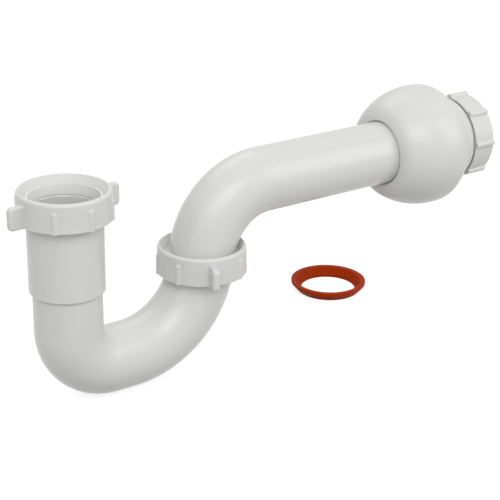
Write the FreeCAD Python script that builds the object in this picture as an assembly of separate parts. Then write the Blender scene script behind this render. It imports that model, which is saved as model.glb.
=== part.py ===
import FreeCAD, Part
import math
import os

# P-trap in millimetres, +Z up. The origin is on the inlet's axis, at the mouth of the inlet sleeve.
# The trap bend and the outlet tube lie in the XZ plane, and the outlet points along +X.

# Pipes
PIPE_RADIUS = 19.05
PIPE_WALL = 1.6
SLIP_GAP = 0.275
SOCKET_WALL = 1.5

# Threaded necks, up to the root of the thread
NECK_WALL = 3.775
NECK_LENGTH = 9.0
UNION_NECK_LENGTH = 8.6
NECK_FLARE = 1.6
MOUTH_BEVEL = 2.6
MOUTH_BEVEL_DEPTH = 4.8

# Trap bend
SLEEVE_LENGTH = 52.2
SLEEVE_STEP = 1.9
SLEEVE_LEDGE = 4.0
INLET_LEG = 75.0
TIGHT_BEND = 24.2
BEND_FLAT = 12.3
LONG_BEND = 50.2
LONG_BEND_SHORT = 2.0

# Slip nuts
NECK_GAP = 1.6
NUT_WALL = 1.3
NUT_DRAFT = 0.5
NUT_HEIGHT = 16.2
LIP_THICKNESS = 4.0
LIP_LAND = 0.4
LIP_GAP = 1.25
UNION_LIP_GAP = 1.55
LIP_BEVEL = 3.2
RIM_ROUND = 1.8
HEEL_ROUND = 0.6
GRIP_PLACES = 8
RIB_RADIUS = 2.2
RIB_PROUD = 0.7
RIB_DROP = 3.6
OUTLET_RIB_PROUD = 1.7
OUTLET_RIB_DROP = 0.6
WING_REACH = 8.4
WING_THICKNESS = 4.0
WING_DROP = 3.4
WING_CORNER = 2.4
WING_EDGE = 1.2
INLET_NUT_TURN = 4.7
UNION_NUT_TURN = 70.5
OUTLET_NUT_TURN = -3.0

# Washers
WASHER_HEIGHT = 2.8
WASHER_END = 0.4
WASHER_CLEAR = 0.3
WASHER_EDGE = 0.4
WASHER_GAP = 0.8
FLAT_WASHER_HEIGHT = 1.6
FLAT_WASHER_INSET = 0.2
FLAT_WASHER_RELIEF = 0.35

# Outlet tube
FLANGE_GAP = 1.1
FLANGE_THICKNESS = 2.0
FLANGE_FILLET = 0.8
ARM_BEND = 41.0
ARM_BEND_EARLY = 4.1
ARM_LENGTH = 88.3

# Ball chamber
BALL_RADIUS = 37.1
BALL_WALL = 2.4
BALL_WAIST = 31.0
BALL_BAND = 3.0
NOSE_ROUND = 10.5
NOSE_GAP = 1.2
HUB_DEPTH = 12.0
HUB_GAP = 0.2
HUB_WALL = 2.4
HUB_STOP = 2.0
SHOULDER_ROUND = 13.0
COLLAR_STEP = 2.8
COLLAR_DRAFT = 2.1
COLLAR_END = 54.6
OUTLET_NECK_LENGTH = 11.8
OUTLET_SOCKET = 23.6

# Loose washer, lying level with the trap's lowest point
LOOSE_RADIUS = 24.3
LOOSE_FOOT_RADIUS = 20.4
LOOSE_HOLE = 17.6
LOOSE_BOWL = 21.2
LOOSE_HEIGHT = 6.0
LOOSE_FLOOR = 1.6
LOOSE_LIP = 1.5
LOOSE_X = 215.0
LOOSE_Y = 42.5

# Derived sizes and places
BORE = PIPE_RADIUS - PIPE_WALL
SOCKET = PIPE_RADIUS + SLIP_GAP
SLEEVE_RADIUS = SOCKET + SOCKET_WALL
NECK_RADIUS = SOCKET + NECK_WALL
NUT_CAVITY = NECK_RADIUS + NECK_GAP
NUT_RADIUS = NUT_CAVITY + NUT_WALL
GRIP_ROOT = NUT_CAVITY + NUT_WALL / 4
WASHER_RADIUS = NUT_CAVITY - WASHER_GAP
FLANGE_RADIUS = NUT_CAVITY - FLANGE_GAP
FLAT_WASHER_RADIUS = FLANGE_RADIUS - FLAT_WASHER_INSET
FLAT_WASHER_HOLE = BORE + FLAT_WASHER_RELIEF
COLLAR_END_RADIUS = NECK_RADIUS + COLLAR_STEP
COLLAR_RADIUS = COLLAR_END_RADIUS + COLLAR_DRAFT
OUTLET_X = TIGHT_BEND + BEND_FLAT + LONG_BEND
TRAP_BOTTOM = -INLET_LEG - TIGHT_BEND
UNION_MOUTH = TRAP_BOTTOM + LONG_BEND - LONG_BEND_SHORT
FLANGE_BOTTOM = UNION_MOUTH + FLAT_WASHER_HEIGHT
FLANGE_TOP = FLANGE_BOTTOM + FLANGE_THICKNESS
ARM_START = FLANGE_BOTTOM - ARM_BEND_EARLY
ARM_Z = ARM_START + ARM_BEND
BALL_X = OUTLET_X + ARM_BEND + ARM_LENGTH
OUTLET_MOUTH = COLLAR_END + OUTLET_NECK_LENGTH

X = FreeCAD.Vector(1, 0, 0)
Y = FreeCAD.Vector(0, 1, 0)
Z = FreeCAD.Vector(0, 0, 1)
ORIGIN = FreeCAD.Vector(0, 0, 0)


def profile_point(radius, height):
    """Point of a profile that is turned about Z."""
    return FreeCAD.Vector(radius, 0, height)


def turned(points, arcs=None):
    """Solid of revolution about Z. arcs gives a middle point for the edge that starts at an index."""
    arcs = arcs or {}
    edges = []
    for index, start in enumerate(points):
        end = points[(index + 1) % len(points)]
        first = profile_point(*start)
        last = profile_point(*end)
        if index in arcs:
            edges.append(Part.Arc(first, profile_point(*arcs[index]), last).toShape())
        else:
            edges.append(Part.LineSegment(first, last).toShape())
    face = Part.Face(Part.Wire(edges))
    return face.revolve(ORIGIN, Z, 360)


def round_middle(centre, radius, start_deg, end_deg):
    """Middle point of a profile arc, with its angles measured from the radial direction towards +Z."""
    angle = math.radians((start_deg + end_deg) / 2)
    return (centre[0] + radius * math.cos(angle), centre[1] + radius * math.sin(angle))


def straight_run(start, direction, length, radius):
    """Round rod from start along direction."""
    return Part.makeCylinder(radius, length, start, direction)


def bend_run(start, direction, centre, angle, radius):
    """Part of a torus: a disc at start, square to direction, swept about centre in the XZ plane."""
    disc = Part.Face(Part.Wire(Part.makeCircle(radius, start, direction)))
    arm = start.sub(centre)
    axis = arm.cross(direction)
    return disc.revolve(centre, axis, angle)


def joined(solids):
    """One solid from several, without the seams between them."""
    whole = solids[0]
    for solid in solids[1:]:
        whole = whole.fuse(solid)
    return whole.removeSplitter()


def trap_bend_run(radius, top):
    """Solid rod along the trap bend's centre line, from z = top to just past the union's mouth."""
    leg_end = FreeCAD.Vector(0, 0, -INLET_LEG)
    low_left = FreeCAD.Vector(TIGHT_BEND, 0, TRAP_BOTTOM)
    low_right = FreeCAD.Vector(TIGHT_BEND + BEND_FLAT, 0, TRAP_BOTTOM)
    return joined([
        straight_run(FreeCAD.Vector(0, 0, top), -Z, top + INLET_LEG, radius),
        bend_run(leg_end, -Z, leg_end.add(X * TIGHT_BEND), 90, radius),
        straight_run(low_left, X, BEND_FLAT, radius),
        bend_run(low_right, X, low_right.add(Z * LONG_BEND), 90, radius),
    ])


def arm_run(radius, end_x):
    """Solid rod along the outlet tube's centre line, from below the flange to x = end_x."""
    foot = FreeCAD.Vector(OUTLET_X, 0, ARM_START)
    elbow = FreeCAD.Vector(OUTLET_X + ARM_BEND, 0, ARM_Z)
    return joined([
        bend_run(foot, Z, foot.add(X * ARM_BEND), 90, radius),
        straight_run(elbow, X, end_x - elbow.x, radius),
    ])


def inlet_sleeve():
    """Threaded neck, sleeve and the step down to the tube, with its slip socket."""
    flare_end = -NECK_LENGTH - NECK_FLARE
    return turned([
        (0, 0),
        (NECK_RADIUS, 0),
        (NECK_RADIUS, -NECK_LENGTH),
        (SLEEVE_RADIUS, flare_end),
        (SLEEVE_RADIUS, -SLEEVE_LENGTH + SLEEVE_STEP),
        (PIPE_RADIUS, -SLEEVE_LENGTH),
        (0, -SLEEVE_LENGTH),
    ])


def slip_socket(depth):
    """What is cut for a pipe that slips in from above: bevelled mouth and socket, down to its ledge."""
    return turned([
        (0, MOUTH_BEVEL_DEPTH),
        (SOCKET + 2 * MOUTH_BEVEL, MOUTH_BEVEL_DEPTH),
        (SOCKET, -MOUTH_BEVEL_DEPTH),
        (SOCKET, -depth),
        (0, -depth),
    ])


def union_neck():
    """Threaded neck on the trap bend's outlet."""
    return Part.makeCylinder(NECK_RADIUS, UNION_NECK_LENGTH, FreeCAD.Vector(OUTLET_X, 0, UNION_MOUTH), -Z)


def j_bend():
    """Trap bend in one moulding, hollowed, and cut off square at the union's mouth."""
    outside = joined([inlet_sleeve(), trap_bend_run(PIPE_RADIUS, -NECK_LENGTH), union_neck()])
    hollow = joined([slip_socket(SLEEVE_LENGTH - SLEEVE_LEDGE), trap_bend_run(BORE, -NECK_LENGTH)])
    mouth = FreeCAD.Vector(OUTLET_X, 0, UNION_MOUTH)
    above = Part.makeCylinder(2 * NECK_RADIUS, 2 * LONG_BEND_SHORT, mouth, Z)
    return outside.cut(hollow).cut(above)


def nut_shell(lip_gap):
    """Turned body of a slip nut: z = 0 is the lip's underside and the lip points up."""
    lip_hole = PIPE_RADIUS + lip_gap
    heel = -(NUT_HEIGHT - LIP_THICKNESS)
    rim_radius = NUT_RADIUS - NUT_DRAFT
    rim_centre = (rim_radius - RIM_ROUND, LIP_THICKNESS - RIM_ROUND)
    heel_centre = (NUT_RADIUS - HEEL_ROUND, heel + HEEL_ROUND)
    points = [
        (lip_hole, 0),
        (NUT_CAVITY, 0),
        (NUT_CAVITY, heel + HEEL_ROUND),
        (NUT_CAVITY + HEEL_ROUND / 2, heel),
        (heel_centre[0], heel),
        (NUT_RADIUS, heel_centre[1]),
        (rim_radius, rim_centre[1]),
        (rim_centre[0], LIP_THICKNESS),
        (lip_hole + LIP_BEVEL, LIP_THICKNESS),
        (lip_hole, LIP_LAND),
    ]
    arcs = {
        4: round_middle(heel_centre, HEEL_ROUND, -90, 0),
        6: round_middle(rim_centre, RIM_ROUND, 0, 90),
    }
    return turned(points, arcs)


def grip_rib(proud, drop):
    """Half-round rib at angle 0, domed on top. It stands proud, and starts drop below the rim."""
    heel = -(NUT_HEIGHT - LIP_THICKNESS)
    middle = NUT_RADIUS + proud - RIB_RADIUS
    top = LIP_THICKNESS - drop - RIB_RADIUS
    stem = Part.makeCylinder(RIB_RADIUS, top - heel, FreeCAD.Vector(middle, 0, heel), Z)
    dome = Part.makeSphere(RIB_RADIUS, FreeCAD.Vector(middle, 0, top))
    core = Part.makeCylinder(GRIP_ROOT, NUT_HEIGHT, FreeCAD.Vector(0, 0, heel), Z)
    return joined([stem, dome]).cut(core)


def grip_wing():
    """Flat thumb wing at angle 0, with rounded corners and edges."""
    heel = -(NUT_HEIGHT - LIP_THICKNESS)
    tip = NUT_RADIUS + WING_REACH
    height = LIP_THICKNESS - WING_DROP - heel
    start = FreeCAD.Vector(GRIP_ROOT, -WING_THICKNESS / 2, heel)
    wing = Part.makeBox(tip - GRIP_ROOT, WING_THICKNESS, height, start)
    corners = []
    for edge in wing.Edges:
        centre = edge.CenterOfMass
        if abs(centre.x - tip) < 0.01 and abs(centre.y) < 0.01:
            corners.append(edge)
    wing = wing.makeFillet(WING_CORNER, corners)
    edges = []
    for edge in wing.Edges:
        box = edge.BoundBox
        flat = box.YLength < 0.01 and abs(abs(box.YMin) - WING_THICKNESS / 2) < 0.01
        if flat and box.XMax > GRIP_ROOT + 0.01:
            edges.append(edge)
    return wing.makeFillet(WING_EDGE, edges)


def slip_nut(lip_gap, wings, rib_proud, rib_drop):
    """Slip nut with grips all round: ribs, and two opposed thumb wings where the nut has them."""
    step = 360 / GRIP_PLACES
    solids = [nut_shell(lip_gap)]
    for place in range(GRIP_PLACES):
        winged = wings and place % (GRIP_PLACES // 2) == 0
        grip = grip_wing() if winged else grip_rib(rib_proud, rib_drop)
        grip.rotate(ORIGIN, Z, place * step)
        solids.append(grip)
    return joined(solids)


def slip_washer():
    """Bevelled washer: z = 0 rests on the neck's mouth, and the cone follows the mouth's bevel."""
    cone_top = SOCKET + MOUTH_BEVEL - WASHER_CLEAR
    cone_end = SOCKET + WASHER_END
    cone_foot = (cone_end - cone_top) * MOUTH_BEVEL_DEPTH / MOUTH_BEVEL
    return turned([
        (SOCKET, cone_foot),
        (cone_end, cone_foot),
        (cone_top, 0),
        (WASHER_RADIUS, 0),
        (WASHER_RADIUS, WASHER_HEIGHT - WASHER_EDGE),
        (WASHER_RADIUS - WASHER_EDGE, WASHER_HEIGHT),
        (SOCKET, WASHER_HEIGHT),
    ])


def flat_washer():
    """Flat washer between the union's mouth and the tube's flange, with z = 0 at its underside."""
    washer = Part.makeCylinder(FLAT_WASHER_RADIUS, FLAT_WASHER_HEIGHT)
    return washer.cut(Part.makeCylinder(FLAT_WASHER_HOLE, FLAT_WASHER_HEIGHT))


def wall_tube():
    """Flanged elbow and long tube in one moulding. The flange's foot plane cuts the elbow's start."""
    end_x = BALL_X + HUB_DEPTH
    foot = FreeCAD.Vector(OUTLET_X, 0, FLANGE_BOTTOM)
    flange = turned([
        (0, 0),
        (FLANGE_RADIUS, 0),
        (FLANGE_RADIUS, FLANGE_THICKNESS),
        (PIPE_RADIUS + FLANGE_FILLET, FLANGE_THICKNESS),
        (PIPE_RADIUS, FLANGE_THICKNESS + FLANGE_FILLET),
        (0, FLANGE_THICKNESS + FLANGE_FILLET),
    ])
    flange.translate(foot)
    tube = joined([flange, arm_run(PIPE_RADIUS, end_x)]).cut(arm_run(BORE, end_x))
    below = Part.makeCylinder(2 * FLANGE_RADIUS, 2 * ARM_BEND_EARLY + PIPE_RADIUS, foot, -Z)
    return tube.cut(below)


def ball_outline(inset):
    """Points and arc middles of the ball's side, drawn inset inwards, from its nose to its collar."""
    nose_radius = NOSE_ROUND - inset
    nose_height = PIPE_RADIUS + NOSE_GAP
    reach = BALL_WAIST - NOSE_ROUND
    fall = nose_height - BALL_RADIUS
    dome = (NOSE_ROUND ** 2 - reach ** 2 - fall ** 2) / (2 * (fall + NOSE_ROUND))
    nose_centre = (nose_height, NOSE_ROUND)
    dome_centre = (BALL_RADIUS - dome, BALL_WAIST)
    meet = math.atan2(nose_centre[1] - dome_centre[1], nose_centre[0] - dome_centre[0])
    tangent = (
        dome_centre[0] + (dome - inset) * math.cos(meet),
        dome_centre[1] + (dome - inset) * math.sin(meet),
    )
    shoulder_start = BALL_WAIST + BALL_BAND
    shoulder_centre = (BALL_RADIUS - SHOULDER_ROUND, shoulder_start)
    shoulder = SHOULDER_ROUND - inset
    collar_cos = (COLLAR_RADIUS - inset - shoulder_centre[0]) / shoulder
    shoulder_end = math.acos(max(0.0, min(1.0, collar_cos)))
    collar = (
        shoulder_centre[0] + shoulder * math.cos(shoulder_end),
        shoulder_centre[1] + shoulder * math.sin(shoulder_end),
    )
    points = [
        (nose_height, NOSE_ROUND - nose_radius),
        tangent,
        (BALL_RADIUS - inset, BALL_WAIST),
        (BALL_RADIUS - inset, shoulder_start),
        collar,
    ]
    middles = [
        round_middle(nose_centre, nose_radius, -90, math.degrees(meet)),
        round_middle(dome_centre, dome - inset, math.degrees(meet), 0),
        None,
        round_middle(shoulder_centre, shoulder, 0, math.degrees(shoulder_end)),
    ]
    return points, middles


def ball_solid(inset, start_points, end_points):
    """Revolved ball side between start_points and end_points, which close the profile along the axis."""
    side, middles = ball_outline(inset)
    points = start_points + side + end_points
    arcs = {}
    for index, middle in enumerate(middles):
        if middle:
            arcs[len(start_points) + index] = middle
    return turned(points, arcs)


def ball_chamber():
    """Hollow ball about Z, nose at 0, with a hub for the tube in its nose and a threaded neck behind."""
    hub_radius = PIPE_RADIUS + HUB_GAP
    hub_outside = hub_radius + HUB_WALL
    socket_outside = SOCKET + HUB_WALL
    socket_floor = OUTLET_MOUTH - OUTLET_SOCKET
    outside = ball_solid(
        0,
        [(0, 0)],
        [
            (COLLAR_END_RADIUS, COLLAR_END),
            (NECK_RADIUS, COLLAR_END),
            (NECK_RADIUS, OUTLET_MOUTH),
            (0, OUTLET_MOUTH),
        ],
    )
    hub_end = HUB_DEPTH + HUB_STOP
    cavity = ball_solid(
        BALL_WALL,
        [(0, hub_end), (hub_outside, hub_end), (hub_outside, NOSE_ROUND)],
        [
            (COLLAR_END_RADIUS - BALL_WALL, COLLAR_END - BALL_WALL),
            (socket_outside, COLLAR_END - BALL_WALL),
            (socket_outside, socket_floor - HUB_STOP),
            (0, socket_floor - HUB_STOP),
        ],
    )
    hub = turned([
        (0, 0),
        (PIPE_RADIUS + NOSE_GAP, 0),
        (hub_radius, NOSE_GAP),
        (hub_radius, HUB_DEPTH),
        (BORE, HUB_DEPTH),
        (BORE, hub_end),
        (0, hub_end),
    ])
    socket = slip_socket(OUTLET_SOCKET)
    socket.translate(Z * OUTLET_MOUTH)
    stop = Part.makeCylinder(BORE, 2 * HUB_STOP, FreeCAD.Vector(0, 0, socket_floor - 2 * HUB_STOP), Z)
    return outside.cut(cavity).cut(hub).cut(socket).cut(stop)


def loose_washer():
    """Flared rubber washer: a short conical cup with a wide hole."""
    return turned([
        (LOOSE_HOLE, 0),
        (LOOSE_FOOT_RADIUS, 0),
        (LOOSE_RADIUS, LOOSE_HEIGHT - LOOSE_LIP),
        (LOOSE_RADIUS, LOOSE_HEIGHT),
        (LOOSE_BOWL, LOOSE_HEIGHT),
        (LOOSE_HOLE, LOOSE_FLOOR),
    ])


def stood_on_outlet(shape, along):
    """Turns a shape made about Z to lie along the outlet's axis, with its z = 0 at BALL_X + along."""
    shape.rotate(ORIGIN, Y, 90)
    shape.translate(FreeCAD.Vector(BALL_X + along, 0, ARM_Z))
    return shape


def placed(shape, x, y, z):
    """Moves a shape to its place."""
    shape.translate(FreeCAD.Vector(x, y, z))
    return shape


def build():
    """All the sub-parts by name, each in its place."""
    inlet_nut = slip_nut(LIP_GAP, True, RIB_PROUD, RIB_DROP)
    inlet_nut.rotate(ORIGIN, Z, INLET_NUT_TURN)
    union_nut = slip_nut(UNION_LIP_GAP, True, RIB_PROUD, RIB_DROP)
    union_nut.rotate(ORIGIN, Z, UNION_NUT_TURN)
    outlet_nut = slip_nut(LIP_GAP, False, OUTLET_RIB_PROUD, OUTLET_RIB_DROP)
    outlet_nut.rotate(ORIGIN, Z, OUTLET_NUT_TURN)
    floor = TRAP_BOTTOM - PIPE_RADIUS
    return {
        "j_bend": j_bend(),
        "inlet_washer": slip_washer(),
        "inlet_nut": placed(inlet_nut, 0, 0, WASHER_HEIGHT),
        "union_washer": placed(flat_washer(), OUTLET_X, 0, UNION_MOUTH),
        "union_nut": placed(union_nut, OUTLET_X, 0, FLANGE_TOP),
        "wall_tube": wall_tube(),
        "ball_chamber": stood_on_outlet(ball_chamber(), 0),
        "outlet_washer": stood_on_outlet(slip_washer(), OUTLET_MOUTH),
        "outlet_nut": stood_on_outlet(outlet_nut, OUTLET_MOUTH + WASHER_HEIGHT),
        "loose_washer": placed(loose_washer(), LOOSE_X, LOOSE_Y, floor),
    }


os.makedirs("parts", exist_ok=True)
for name, shape in build().items():
    solids = shape.Solids
    if len(solids) != 1 or not shape.isValid():
        raise ValueError(name + " is not one valid solid")
    solids[0].exportStep("parts/" + name + ".step")
    box = shape.BoundBox
    corners = (box.XMin, box.YMin, box.ZMin, box.XMax, box.YMax, box.ZMax)
    print(name, round(shape.Volume), [round(value, 2) for value in corners])
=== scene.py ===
import bpy
import math
from mathutils import Matrix, Vector


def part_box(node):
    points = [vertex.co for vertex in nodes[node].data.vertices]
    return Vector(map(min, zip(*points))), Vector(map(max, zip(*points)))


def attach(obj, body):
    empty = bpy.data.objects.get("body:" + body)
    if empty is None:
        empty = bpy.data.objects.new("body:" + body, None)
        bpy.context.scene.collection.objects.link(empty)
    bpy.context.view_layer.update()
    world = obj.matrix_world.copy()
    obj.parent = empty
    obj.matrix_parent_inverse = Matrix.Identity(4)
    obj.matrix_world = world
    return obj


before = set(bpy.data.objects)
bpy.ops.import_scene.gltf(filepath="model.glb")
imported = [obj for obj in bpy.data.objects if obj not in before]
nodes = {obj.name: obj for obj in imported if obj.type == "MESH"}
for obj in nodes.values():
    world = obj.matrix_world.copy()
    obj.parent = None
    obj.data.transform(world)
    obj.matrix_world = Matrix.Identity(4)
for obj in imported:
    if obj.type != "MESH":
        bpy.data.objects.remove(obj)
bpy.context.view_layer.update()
scene = bpy.context.scene

# Camera at the photograph's viewing angle, in metres; its lens and sensor are in millimetres
CAMERA_PLACE = Vector((-0.32744, -0.62456, 0.26219))
CAMERA_RIGHT = Vector((0.81613067, -0.57765937, 0.01550406))
CAMERA_UP = Vector((0.20892421, 0.31997542, 0.92410303))
CAMERA_FORWARD = Vector((0.53877769, 0.75094965, -0.38182879))
CAMERA_LENS = 102.14
CAMERA_SENSOR = 36.0
CAMERA_NEAR = 0.01
CAMERA_FAR = 50

# Floor and background. The glow is what the camera sees of the floor besides the light that falls on it
FLOOR_SIZE = 12.0
FLOOR_COLOUR = (0.42, 0.42, 0.42, 1)
FLOOR_GLOW = 0.78
WORLD_LIGHT = 0.55
WHITE = (1, 1, 1, 1)

# Soft lights turned to one point: place, width, height and power
LIGHT_TARGET = Vector((0.13, 0, -0.04))
LIGHTS = {
    "front_light": ((-0.35, -0.95, 0.95), 1.1, 0.8, 9.2),
    "left_light": ((-1.05, -0.30, 0.50), 0.5, 0.9, 1.5),
    "right_light": ((0.85, -0.80, 0.50), 0.5, 0.8, 3.2),
    "back_light": ((0.25, 0.85, 0.95), 0.9, 0.6, 2.5),
}

# Noise keeps to this range nearly everywhere
NOISE_LOW = 0.3
NOISE_HIGH = 0.7

# Skin of the moulded plastic: scale and detail of each noise, then the share of each in the bump
CLOUDS = (38, 3)
GLOSS_PATCHES = (110, 4)
RIPPLES = (60, 1)
GRAIN_DETAIL = 3
GRAIN_SHARE = 0.5
RIPPLE_SHARE = 0.3
PLASTIC_BUMP = 0.35
PLASTIC_BUMP_DEPTH = 0.00002

# Skin of the moulded rubber
RUBBER_CLOUDS = (240, 5)
RUBBER_DUST = (500, 3)
RUBBER_GLOSS = (0.42, 0.62)
RUBBER_GRAIN = (1400, 3)
RUBBER_BUMP = 0.5
RUBBER_BUMP_DEPTH = 0.00008

# Threads of the necks and the nuts: 11.5 in an inch. Steps are counted in a turn, and a ridge rises from
# THREAD_END of its height to all of it in THREAD_FADE of a turn. Its foot sinks a little into the wall.
THREAD_PITCH = 0.0254 / 11.5
THREAD_STEPS = 72
THREAD_FADE = 0.12
THREAD_END = 0.02
THREAD_FOOT = 0.0013
THREAD_TIP = 0.00035
THREAD_SINK = 0.00015
NECK_ROOT = 0.0231
NECK_CREST = 0.0242
NUT_ROOT = 0.0247
NUT_CREST = 0.0236

# A nut's ridge runs half a turn from its neck's ridge, so that each lies in the other's groove
NECK_PHASE = 0
NUT_PHASE = 0.5

# Axes of the slip joints: the inlet's is Z, the union's stands at UNION_X, and the outlet's runs along X
UNION_X = 0.0867
OUTLET_Z = -0.0125
INLET_FRAME = Matrix.Identity(4)
UNION_FRAME = Matrix.Translation((UNION_X, 0, 0))
OUTLET_FRAME = Matrix.Translation((0, 0, OUTLET_Z)) @ Matrix.Rotation(math.pi / 2, 4, "Y")

# Start and end of each thread along its joint's axis
INLET_NECK_SPAN = (-0.0083, -0.0012)
INLET_NUT_SPAN = (-0.0084, -0.0010)
UNION_NECK_SPAN = (-0.0589, -0.0522)
UNION_NUT_SPAN = (-0.0586, -0.0520)
OUTLET_NECK_SPAN = (0.2726, 0.2812)
OUTLET_NUT_SPAN = (0.2740, 0.2814)


def set_inputs(node, **values):
    """Sets a node's inputs by name, with underscores for spaces."""
    for name, value in values.items():
        node.inputs[name.replace("_", " ")].default_value = value


def new_material(name):
    """An empty shader: the material, its node tree and the shader node."""
    material = bpy.data.materials.new(name)
    material.use_nodes = True
    tree = material.node_tree
    return material, tree, tree.nodes["Principled BSDF"]


def colour_mix(tree, factor, first, second):
    """A colour between two others."""
    mix = tree.nodes.new("ShaderNodeMix")
    mix.data_type = "RGBA"
    tree.links.new(factor, mix.inputs["Factor"])
    mix.inputs["A"].default_value = first
    mix.inputs["B"].default_value = second
    return mix.outputs["Result"]


def noise(tree, scale, detail):
    """Noise that is fixed to the piece."""
    place = tree.nodes.new("ShaderNodeTexCoord")
    texture = tree.nodes.new("ShaderNodeTexNoise")
    tree.links.new(place.outputs["Object"], texture.inputs["Vector"])
    set_inputs(texture, Scale=scale, Detail=detail)
    return texture.outputs["Fac"]


def spread(tree, value, low, high):
    """Maps a noise value from its usual range to low..high."""
    ranged = tree.nodes.new("ShaderNodeMapRange")
    tree.links.new(value, ranged.inputs["Value"])
    ranged.inputs["From Min"].default_value = NOISE_LOW
    ranged.inputs["From Max"].default_value = NOISE_HIGH
    ranged.inputs["To Min"].default_value = low
    ranged.inputs["To Max"].default_value = high
    return ranged.outputs["Result"]


def bump(tree, shader, height, strength, distance):
    """Turns a height into the shader's fine relief."""
    node = tree.nodes.new("ShaderNodeBump")
    set_inputs(node, Strength=strength, Distance=distance)
    tree.links.new(height, node.inputs["Height"])
    tree.links.new(node.outputs["Normal"], shader.inputs["Normal"])


def moulded_plastic(name, light, dark, gloss, coat, grain):
    """White moulded plastic: faint tone clouds, a gloss that varies a little, and a fine moulded skin."""
    material, tree, shader = new_material(name)
    tree.links.new(colour_mix(tree, noise(tree, *CLOUDS), dark, light), shader.inputs["Base Color"])
    tree.links.new(spread(tree, noise(tree, *GLOSS_PATCHES), *gloss), shader.inputs["Roughness"])
    set_inputs(shader, IOR=1.46, Specular_IOR_Level=0.4, Coat_Weight=coat, Coat_Roughness=0.15)
    set_inputs(shader, Subsurface_Weight=0.12, Subsurface_Scale=0.003, Subsurface_Radius=(1, 0.95, 0.9))
    add = tree.nodes.new("ShaderNodeMath")
    add.operation = "ADD"
    tree.links.new(spread(tree, noise(tree, grain, GRAIN_DETAIL), 0, GRAIN_SHARE), add.inputs[0])
    tree.links.new(spread(tree, noise(tree, *RIPPLES), 0, RIPPLE_SHARE), add.inputs[1])
    bump(tree, shader, add.outputs[0], PLASTIC_BUMP, PLASTIC_BUMP_DEPTH)
    return material


def rubber(name, light, dark):
    """Moulded rubber: slightly uneven colour, dusty roughness and a fine grain."""
    material, tree, shader = new_material(name)
    tree.links.new(colour_mix(tree, noise(tree, *RUBBER_CLOUDS), dark, light), shader.inputs["Base Color"])
    tree.links.new(spread(tree, noise(tree, *RUBBER_DUST), *RUBBER_GLOSS), shader.inputs["Roughness"])
    set_inputs(shader, IOR=1.5, Specular_IOR_Level=0.05)
    bump(tree, shader, noise(tree, *RUBBER_GRAIN), RUBBER_BUMP, RUBBER_BUMP_DEPTH)
    return material


def dress(node_names, material):
    """Gives CAD nodes their material."""
    for name in node_names:
        for slot in nodes[name].material_slots:
            slot.material = material


def mesh_piece(name, points, faces, body, material):
    """A new piece that rides on a body."""
    mesh = bpy.data.meshes.new(name)
    mesh.from_pydata(points, [], faces)
    mesh.materials.append(material)
    piece = bpy.data.objects.new(name, mesh)
    scene.collection.objects.link(piece)
    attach(piece, body)


def thread_sections(root, crest, start, end, phase):
    """Cross-sections of a helical ridge about Z, faded out at both ends."""
    turns = (end - start) / THREAD_PITCH
    count = int(turns * THREAD_STEPS)
    sink = math.copysign(THREAD_SINK, root - crest)
    sections = []
    for step in range(count + 1):
        along = step / THREAD_STEPS
        fade = min(1, along / THREAD_FADE, (turns - along) / THREAD_FADE)
        fade = max(THREAD_END, fade)
        angle = 2 * math.pi * (along + phase + start / THREAD_PITCH)
        height = start + along * THREAD_PITCH
        tip = root + (crest - root) * fade
        profile = [
            (root + sink, -THREAD_FOOT / 2),
            (tip, -THREAD_TIP / 2),
            (tip, THREAD_TIP / 2),
            (root + sink, THREAD_FOOT / 2),
        ]
        sections.append([
            Vector((radius * math.cos(angle), radius * math.sin(angle), height + lift))
            for radius, lift in profile
        ])
    return sections


def thread(name, body, material, axis_frame, root, crest, span, phase):
    """Right-hand thread as one closed ridge."""
    sections = thread_sections(root, crest, *span, phase)
    size = len(sections[0])
    points = [axis_frame @ point for section in sections for point in section]
    faces = [tuple(range(size)), tuple(range(len(points) - 1, len(points) - size - 1, -1))]
    for row in range(len(sections) - 1):
        for corner in range(size):
            here = row * size + corner
            beside = row * size + (corner + 1) % size
            faces.append((here, beside, beside + size, here + size))
    if crest > root:
        faces = [tuple(reversed(face)) for face in faces]
    mesh_piece(name, points, faces, body, material)


def neck_thread(name, body, material, axis_frame, span):
    """Thread outside a neck."""
    thread(name, body, material, axis_frame, NECK_ROOT, NECK_CREST, span, NECK_PHASE)


def nut_thread(name, body, axis_frame, span):
    """Thread inside a nut."""
    thread(name, body, nut_plastic, axis_frame, NUT_ROOT, NUT_CREST, span, NUT_PHASE)


def camera_view_mask(tree):
    """1 for what the camera sees, directly or in a reflection or through a clear piece."""
    path = tree.nodes.new("ShaderNodeLightPath")
    total = path.outputs["Is Camera Ray"]
    for name in ("Is Glossy Ray", "Is Transmission Ray"):
        either = tree.nodes.new("ShaderNodeMath")
        either.operation = "MAXIMUM"
        tree.links.new(total, either.inputs[0])
        tree.links.new(path.outputs[name], either.inputs[1])
        total = either.outputs[0]
    return total


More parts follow.
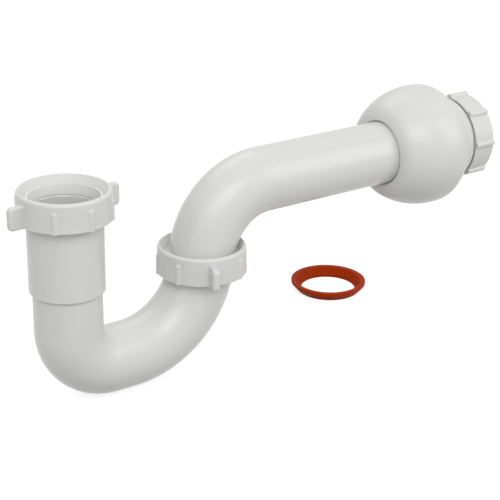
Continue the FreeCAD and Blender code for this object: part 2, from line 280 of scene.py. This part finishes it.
def make_floor(height):
    """Pale floor that looks white from the camera and keeps a soft shadow."""
    material = bpy.data.materials.new("floor_white")
    material.use_nodes = True
    tree = material.node_tree
    tree.nodes.clear()
    output = tree.nodes.new("ShaderNodeOutputMaterial")
    diffuse = tree.nodes.new("ShaderNodeBsdfDiffuse")
    diffuse.inputs["Color"].default_value = FLOOR_COLOUR
    glow = tree.nodes.new("ShaderNodeEmission")
    glow.inputs["Color"].default_value = WHITE
    strength = tree.nodes.new("ShaderNodeMath")
    strength.operation = "MULTIPLY"
    strength.inputs[1].default_value = FLOOR_GLOW
    tree.links.new(camera_view_mask(tree), strength.inputs[0])
    tree.links.new(strength.outputs[0], glow.inputs["Strength"])
    add = tree.nodes.new("ShaderNodeAddShader")
    tree.links.new(diffuse.outputs[0], add.inputs[0])
    tree.links.new(glow.outputs[0], add.inputs[1])
    tree.links.new(add.outputs[0], output.inputs["Surface"])
    half = FLOOR_SIZE / 2
    corners = [
        (-half, -half, height),
        (half, -half, height),
        (half, half, height),
        (-half, half, height),
    ]
    mesh = bpy.data.meshes.new("floor")
    mesh.from_pydata(corners, [], [(0, 1, 2, 3)])
    mesh.materials.append(material)
    floor = bpy.data.objects.new("floor", mesh)
    scene.collection.objects.link(floor)


def make_world():
    """White where the camera looks, also in reflections, and a plain soft light everywhere else."""
    world = bpy.data.worlds.new("studio")
    world.use_nodes = True
    scene.world = world
    tree = world.node_tree
    background = tree.nodes["Background"]
    background.inputs["Color"].default_value = WHITE
    ranged = tree.nodes.new("ShaderNodeMapRange")
    ranged.inputs["To Min"].default_value = WORLD_LIGHT
    ranged.inputs["To Max"].default_value = 1
    tree.links.new(camera_view_mask(tree), ranged.inputs["Value"])
    tree.links.new(ranged.outputs["Result"], background.inputs["Strength"])


def area_light(name, place, width, height, power):
    """Rectangular lamp turned to the part."""
    data = bpy.data.lights.new(name, "AREA")
    data.shape = "RECTANGLE"
    data.size = width
    data.size_y = height
    data.energy = power
    light = bpy.data.objects.new(name, data)
    light.location = place
    light.rotation_euler = (LIGHT_TARGET - Vector(place)).to_track_quat("-Z", "Y").to_euler()
    scene.collection.objects.link(light)


def make_camera():
    """The photograph's camera, made the scene's own."""
    data = bpy.data.cameras.new("camera")
    data.lens = CAMERA_LENS
    data.sensor_width = CAMERA_SENSOR
    data.clip_start = CAMERA_NEAR
    data.clip_end = CAMERA_FAR
    camera = bpy.data.objects.new("camera", data)
    turn = Matrix((CAMERA_RIGHT, CAMERA_UP, -CAMERA_FORWARD)).transposed()
    camera.matrix_world = Matrix.Translation(CAMERA_PLACE) @ turn.to_4x4()
    scene.collection.objects.link(camera)
    scene.camera = camera


# Gloss stays above 0.275, under which the denoiser takes a surface for a mirror and leaves dark specks
tube_plastic = moulded_plastic(
    "tube_plastic",
    light=(0.656, 0.655, 0.642, 1),
    dark=(0.648, 0.647, 0.634, 1),
    gloss=(0.285, 0.325),
    coat=0.2,
    grain=900,
)
nut_plastic = moulded_plastic(
    "nut_plastic",
    light=(0.656, 0.655, 0.642, 1),
    dark=(0.646, 0.645, 0.632, 1),
    gloss=(0.32, 0.37),
    coat=0.06,
    grain=1300,
)
ball_plastic = moulded_plastic(
    "ball_plastic",
    light=(0.659, 0.658, 0.644, 1),
    dark=(0.651, 0.650, 0.636, 1),
    gloss=(0.295, 0.335),
    coat=0.05,
    grain=1000,
)
# The seals are a whiter plastic than the tube, and are lighter still as painted light, so that the shaded
# inside of the inlet reads lighter
seal_white_and_painted_light = moulded_plastic(
    "seal_white_and_painted_light",
    light=(0.86, 0.86, 0.85, 1),
    dark=(0.82, 0.82, 0.81, 1),
    gloss=(0.35, 0.45),
    coat=0.05,
    grain=800,
)
red_rubber = rubber("red_rubber", light=(0.41, 0.036, 0.001, 1), dark=(0.34, 0.027, 0.001, 1))

dress(("j_bend", "wall_tube"), tube_plastic)
dress(("inlet_nut", "union_nut", "outlet_nut"), nut_plastic)
dress(("inlet_washer", "union_washer", "outlet_washer"), seal_white_and_painted_light)
dress(("ball_chamber",), ball_plastic)
dress(("loose_washer",), red_rubber)

neck_thread("inlet_neck_thread", "trap", tube_plastic, INLET_FRAME, INLET_NECK_SPAN)
nut_thread("inlet_nut_thread", "inlet_nut", INLET_FRAME, INLET_NUT_SPAN)
neck_thread("union_neck_thread", "trap", tube_plastic, UNION_FRAME, UNION_NECK_SPAN)
nut_thread("union_nut_thread", "union_nut", UNION_FRAME, UNION_NUT_SPAN)
neck_thread("outlet_neck_thread", "outlet_arm", ball_plastic, OUTLET_FRAME, OUTLET_NECK_SPAN)
nut_thread("outlet_nut_thread", "outlet_nut", OUTLET_FRAME, OUTLET_NUT_SPAN)

make_floor(min(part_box(name)[0].z for name in nodes))
make_world()
for name, (place, width, height, power) in LIGHTS.items():
    area_light(name, place, width, height, power)
make_camera()
scene.view_settings.view_transform = "Standard"
